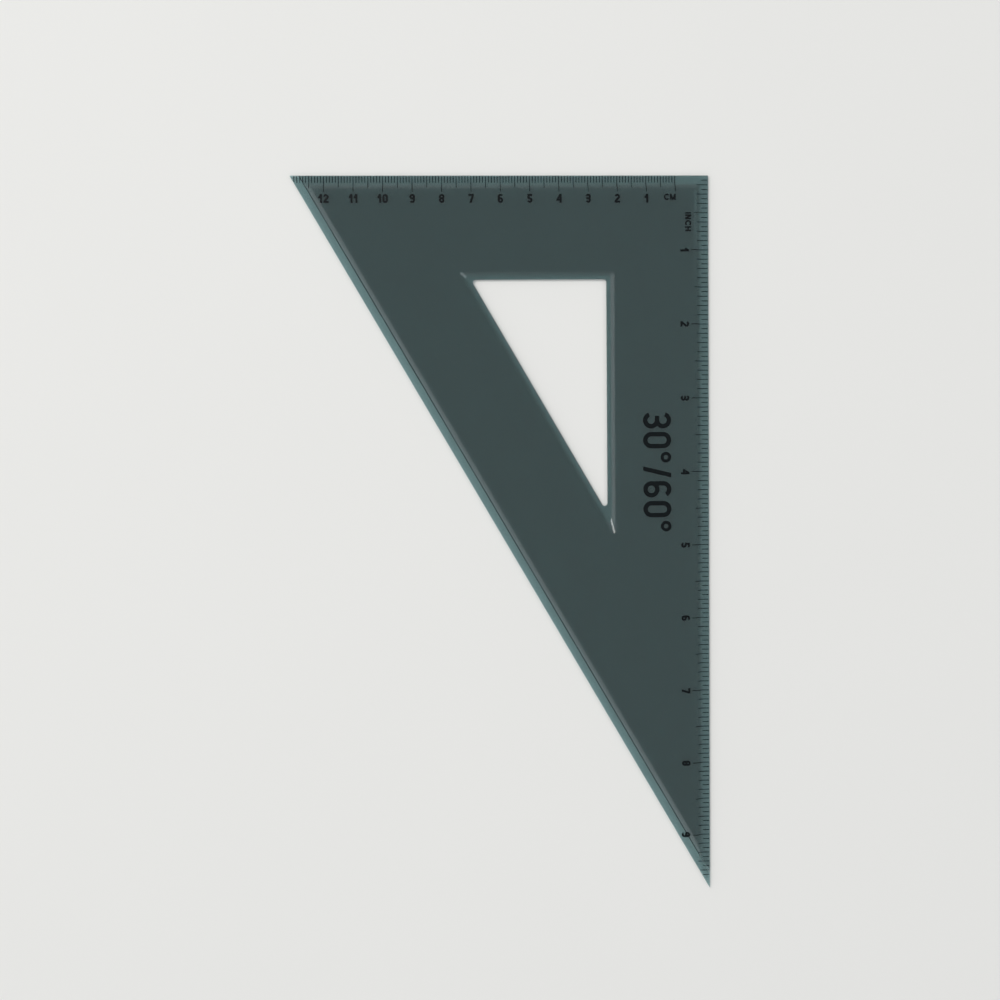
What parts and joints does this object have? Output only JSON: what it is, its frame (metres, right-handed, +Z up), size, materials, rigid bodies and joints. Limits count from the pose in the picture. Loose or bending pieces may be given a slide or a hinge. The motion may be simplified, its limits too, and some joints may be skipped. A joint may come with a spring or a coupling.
{
  "type": "set square",
  "caption": "Smoke-blue 30/60/90 drafting triangle with stepped edges, a triangular finger-lift cut-out, and printed metric and inch scales on its two legs.",
  "frame": {"origin": "on the underside, at the centre of the outline's bounding box, which is the middle of the hypotenuse", "axes": "+Z up through the plate's thickness, +Y along the long leg towards the right angle, +X square to it towards the long leg"},
  "size_m": [0.143, 0.2476, 0.0021],
  "materials": {
    "smoke_plastic": "moulded polystyrene with a deep smoke-blue tint that shows clearer at the thin edges, polished",
    "ink": "satin near-black printing ink"
  },
  "bodies": {
    "root": {"blade": "smoke_plastic", "millimetre_lines": "ink", "half_centimetre_lines": "ink", "centimetre_lines": "ink", "centimetre_numerals": "ink", "centimetre_label": "ink", "sixteenth_lines": "ink", "eighth_lines": "ink", "half_inch_lines": "ink", "inch_lines": "ink", "inch_numerals": "ink", "inch_label": "ink", "angle_mark": "ink"}
  },
  "joints": []
}
